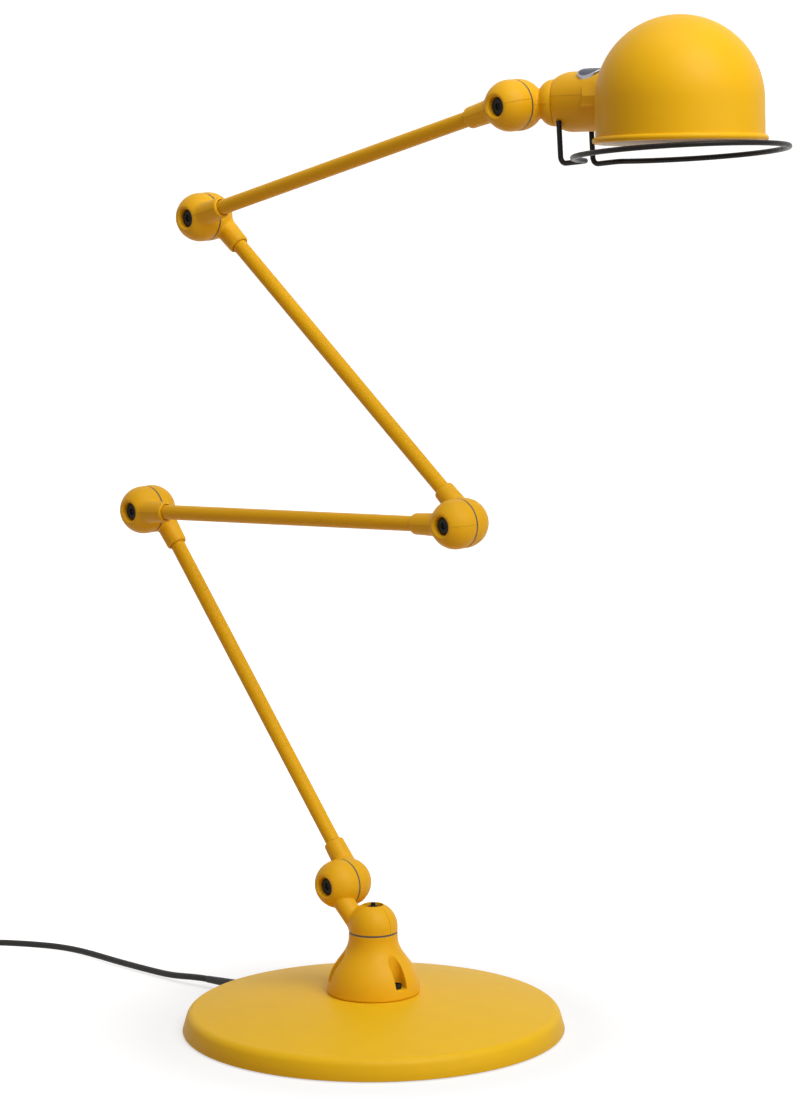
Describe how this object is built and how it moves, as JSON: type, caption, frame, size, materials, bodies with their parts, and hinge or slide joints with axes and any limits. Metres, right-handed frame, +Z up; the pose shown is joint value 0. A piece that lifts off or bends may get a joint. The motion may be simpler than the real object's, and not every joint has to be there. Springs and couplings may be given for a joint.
{
  "type": "articulated floor lamp",
  "caption": "Floor lamp with a heavy domed base, jointed tube arms with ball-shaped friction joints, and a turning domed shade with a wire ring guard.",
  "frame": {"origin": "centre of the base underside, on the floor and on the axis of the swivel", "axes": "+Z up along the swivel axis, +X towards the head in the plane of the arms, +Y to the far side of the joint seams"},
  "size_m": [0.8126, 0.255, 0.6812],
  "materials": {
    "paint": "satin powder coat",
    "alloy_paint": "satin powder coat on a light alloy casting",
    "disc": "matte",
    "black_steel": "blackened",
    "spring_steel": "bright",
    "felt": "matte",
    "cord": "matte",
    "black_plastic": "matte",
    "brass": "bright",
    "white_plastic": "matte",
    "bulb": "frosted",
    "plate": "satin"
  },
  "bodies": {
    "base": {"base_disc": "paint", "base_felt": "felt", "pedestal": "alloy_paint", "pedestal_screws": "black_steel", "swivel_lower_disc": "disc", "swivel_bolt": "black_steel", "swivel_nut": "black_steel", "swivel_spring": "spring_steel", "cord_gland": "cord", "cord_run": "cord", "cord_coil": "cord", "cord_tie": "black_plastic", "switch_base": "black_plastic", "switch_cover": "black_plastic", "plug_body": "black_plastic", "plug_pins": "brass"},
    "swivel": {"swivel_dome": "alloy_paint", "swivel_upper_disc": "disc", "joint_1_disc": "disc", "joint_1_bolt": "black_steel", "joint_1_nut": "black_steel", "joint_1_spring": "spring_steel"},
    "neck": {"neck": "alloy_paint", "neck_disc": "disc", "neck_tube": "brass"},
    "head": {"housing": "alloy_paint", "housing_plate": "plate", "shade": "paint", "shade_ring": "white_plastic", "ring_guard": "black_steel", "lampholder": "white_plastic", "bulb_cap": "brass", "bulb_glass": "bulb"},
    "rocker": {"switch_rocker": "black_plastic"},
    "arm_1": {"arm_1_tube": "paint", "arm_1_lower_half": "alloy_paint", "arm_1_upper_half": "alloy_paint", "arm_1_discs": "disc", "arm_1_lead": "cord"},
    "arm_2": {"arm_2_tube": "paint", "arm_2_lower_half": "alloy_paint", "arm_2_upper_half": "alloy_paint", "arm_2_discs": "disc", "arm_2_lead": "cord", "arm_2_bolts": "black_steel", "arm_2_nuts": "black_steel", "arm_2_springs": "spring_steel"},
    "arm_3": {"arm_3_tube": "paint", "arm_3_lower_half": "alloy_paint", "arm_3_upper_half": "alloy_paint", "arm_3_discs": "disc", "arm_3_lead": "cord"},
    "arm_4": {"arm_4_tube": "paint", "arm_4_lower_half": "alloy_paint", "arm_4_upper_half": "alloy_paint", "arm_4_discs": "disc", "arm_4_lead": "cord", "arm_4_bolts": "black_steel", "arm_4_nuts": "black_steel", "arm_4_springs": "spring_steel"}
  },
  "joints": [
    {"name": "swivel_turn", "type": "hinge", "parent": "base", "child": "swivel", "pos_m": [0, 0, 0.06788], "axis": [0, 0, 1], "range_deg": [-170, 170]},
    {"name": "joint_1", "type": "hinge", "parent": "swivel", "child": "arm_1", "pos_m": [-0.0284, 0, 0.09548], "axis": [0, -1, 0], "range_deg": [-45, 40]},
    {"name": "joint_2", "type": "hinge", "parent": "arm_1", "child": "arm_2", "pos_m": [-0.21841, 0, 0.32764], "axis": [0, -1, 0], "range_deg": [-35, 110]},
    {"name": "joint_3", "type": "hinge", "parent": "arm_2", "child": "arm_3", "pos_m": [0.08066, 0, 0.35117], "axis": [0, 1, 0], "range_deg": [-25, 110]},
    {"name": "joint_4", "type": "hinge", "parent": "arm_3", "child": "arm_4", "pos_m": [-0.15766, 0, 0.53339], "axis": [0, -1, 0], "range_deg": [-35, 110]},
    {"name": "joint_5", "type": "hinge", "parent": "arm_4", "child": "neck", "pos_m": [0.12907, 0, 0.6216], "axis": [0, 1, 0], "range_deg": [-100, 105]},
    {"name": "head_turn", "type": "hinge", "parent": "neck", "child": "head", "pos_m": [0.14809, 0.01793, 0.62306], "axis": [0.8844, 0.4617, 0.0681], "range_deg": [-90, 90]},
    {"name": "switch_rock", "type": "hinge", "parent": "base", "child": "rocker", "pos_m": [-0.38374, -0.0607, 0.0115], "axis": [0.6, -0.8, 0], "range_deg": [-7, 7]}
  ]
}
